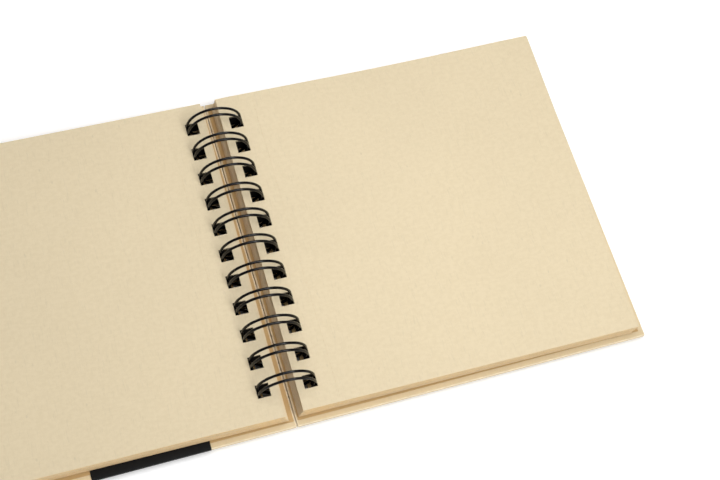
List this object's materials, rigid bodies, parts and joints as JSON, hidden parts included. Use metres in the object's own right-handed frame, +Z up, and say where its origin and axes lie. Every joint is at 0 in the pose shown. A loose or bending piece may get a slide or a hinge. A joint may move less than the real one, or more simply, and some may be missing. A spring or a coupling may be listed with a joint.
{
  "type": "sketchbook",
  "caption": "Square hard-covered sketchbook of tan drawing paper, lying open on a black twin-loop wire binding, with covers and leaves that turn about the wire.",
  "frame": {"origin": "on the surface the open book lies on, under the middle of the wire", "axes": "+X across the open book towards the back cover's fore-edge, +Y along the spine towards the head, +Z up out of the open pages"},
  "size_m": [0.3224, 0.163, 0.0253],
  "materials": {
    "wire": "glossy black coating on steel wire",
    "board": "matt greyboard",
    "cover_paper": "matt tan cover paper",
    "liner_paper": "matt tan liner paper",
    "drawing_paper": "matt tan drawing paper with fine fibres",
    "label": "black paper with a slight sheen"
  },
  "bodies": {
    "wire": {"wire_binding": "wire"},
    "front_cover": {"front_board": "board", "front_cover_wrap": "cover_paper", "front_liner": "liner_paper", "foot_label": "label"},
    "back_cover": {"back_board": "board", "back_cover_wrap": "cover_paper", "back_liner": "liner_paper"},
    "left_pages": {"left_sheet_04": "drawing_paper", "left_sheet_05": "drawing_paper", "left_sheet_06": "drawing_paper", "left_sheet_07": "drawing_paper", "left_sheet_08": "drawing_paper", "left_sheet_09": "drawing_paper", "left_sheet_10": "drawing_paper", "left_sheet_11": "drawing_paper", "left_sheet_12": "drawing_paper", "left_sheet_13": "drawing_paper", "left_sheet_14": "drawing_paper", "left_sheet_15": "drawing_paper", "left_sheet_16": "drawing_paper", "left_sheet_17": "drawing_paper", "left_sheet_18": "drawing_paper", "left_sheet_19": "drawing_paper", "left_sheet_20": "drawing_paper", "left_sheet_21": "drawing_paper", "left_sheet_22": "drawing_paper", "left_sheet_23": "drawing_paper", "left_sheet_24": "drawing_paper", "left_sheet_25": "drawing_paper"},
    "left_leaf_3": {"left_sheet_03": "drawing_paper"},
    "left_leaf_2": {"left_sheet_02": "drawing_paper"},
    "left_leaf_1": {"left_sheet_01": "drawing_paper"},
    "right_pages": {"right_sheet_04": "drawing_paper", "right_sheet_05": "drawing_paper", "right_sheet_06": "drawing_paper", "right_sheet_07": "drawing_paper", "right_sheet_08": "drawing_paper", "right_sheet_09": "drawing_paper", "right_sheet_10": "drawing_paper", "right_sheet_11": "drawing_paper", "right_sheet_12": "drawing_paper", "right_sheet_13": "drawing_paper", "right_sheet_14": "drawing_paper", "right_sheet_15": "drawing_paper", "right_sheet_16": "drawing_paper", "right_sheet_17": "drawing_paper", "right_sheet_18": "drawing_paper", "right_sheet_19": "drawing_paper", "right_sheet_20": "drawing_paper", "right_sheet_21": "drawing_paper", "right_sheet_22": "drawing_paper", "right_sheet_23": "drawing_paper", "right_sheet_24": "drawing_paper", "right_sheet_25": "drawing_paper"},
    "right_leaf_3": {"right_sheet_03": "drawing_paper"},
    "right_leaf_2": {"right_sheet_02": "drawing_paper"},
    "right_leaf_1": {"right_sheet_01": "drawing_paper"}
  },
  "joints": [
    {"name": "front_cover_turn", "type": "hinge", "parent": "wire", "child": "front_cover", "pos_m": [0, 0, 0.0127], "axis": [0, 1, 0], "range_deg": [-0.7, 180]},
    {"name": "back_cover_turn", "type": "hinge", "parent": "wire", "child": "back_cover", "pos_m": [0, 0, 0.0127], "axis": [0, 1, 0], "range_deg": [-180, 0.7]},
    {"name": "left_pages_turn", "type": "hinge", "parent": "front_cover", "child": "left_pages", "pos_m": [0, 0, 0.0127], "axis": [0, 1, 0], "range_deg": [0, 180]},
    {"name": "left_leaf_3_turn", "type": "hinge", "parent": "left_pages", "child": "left_leaf_3", "pos_m": [0, 0, 0.0127], "axis": [0, 1, 0], "range_deg": [0, 180]},
    {"name": "left_leaf_2_turn", "type": "hinge", "parent": "left_leaf_3", "child": "left_leaf_2", "pos_m": [0, 0, 0.0127], "axis": [0, 1, 0], "range_deg": [0, 180]},
    {"name": "left_leaf_1_turn", "type": "hinge", "parent": "left_leaf_2", "child": "left_leaf_1", "pos_m": [0, 0, 0.0127], "axis": [0, 1, 0], "range_deg": [0, 180]},
    {"name": "right_pages_turn", "type": "hinge", "parent": "back_cover", "child": "right_pages", "pos_m": [0, 0, 0.0127], "axis": [0, 1, 0], "range_deg": [-180, 0]},
    {"name": "right_leaf_3_turn", "type": "hinge", "parent": "right_pages", "child": "right_leaf_3", "pos_m": [0, 0, 0.0127], "axis": [0, 1, 0], "range_deg": [-180, 0]},
    {"name": "right_leaf_2_turn", "type": "hinge", "parent": "right_leaf_3", "child": "right_leaf_2", "pos_m": [0, 0, 0.0127], "axis": [0, 1, 0], "range_deg": [-180, 0]},
    {"name": "right_leaf_1_turn", "type": "hinge", "parent": "right_leaf_2", "child": "right_leaf_1", "pos_m": [0, 0, 0.0127], "axis": [0, 1, 0], "range_deg": [-180, 0]}
  ]
}
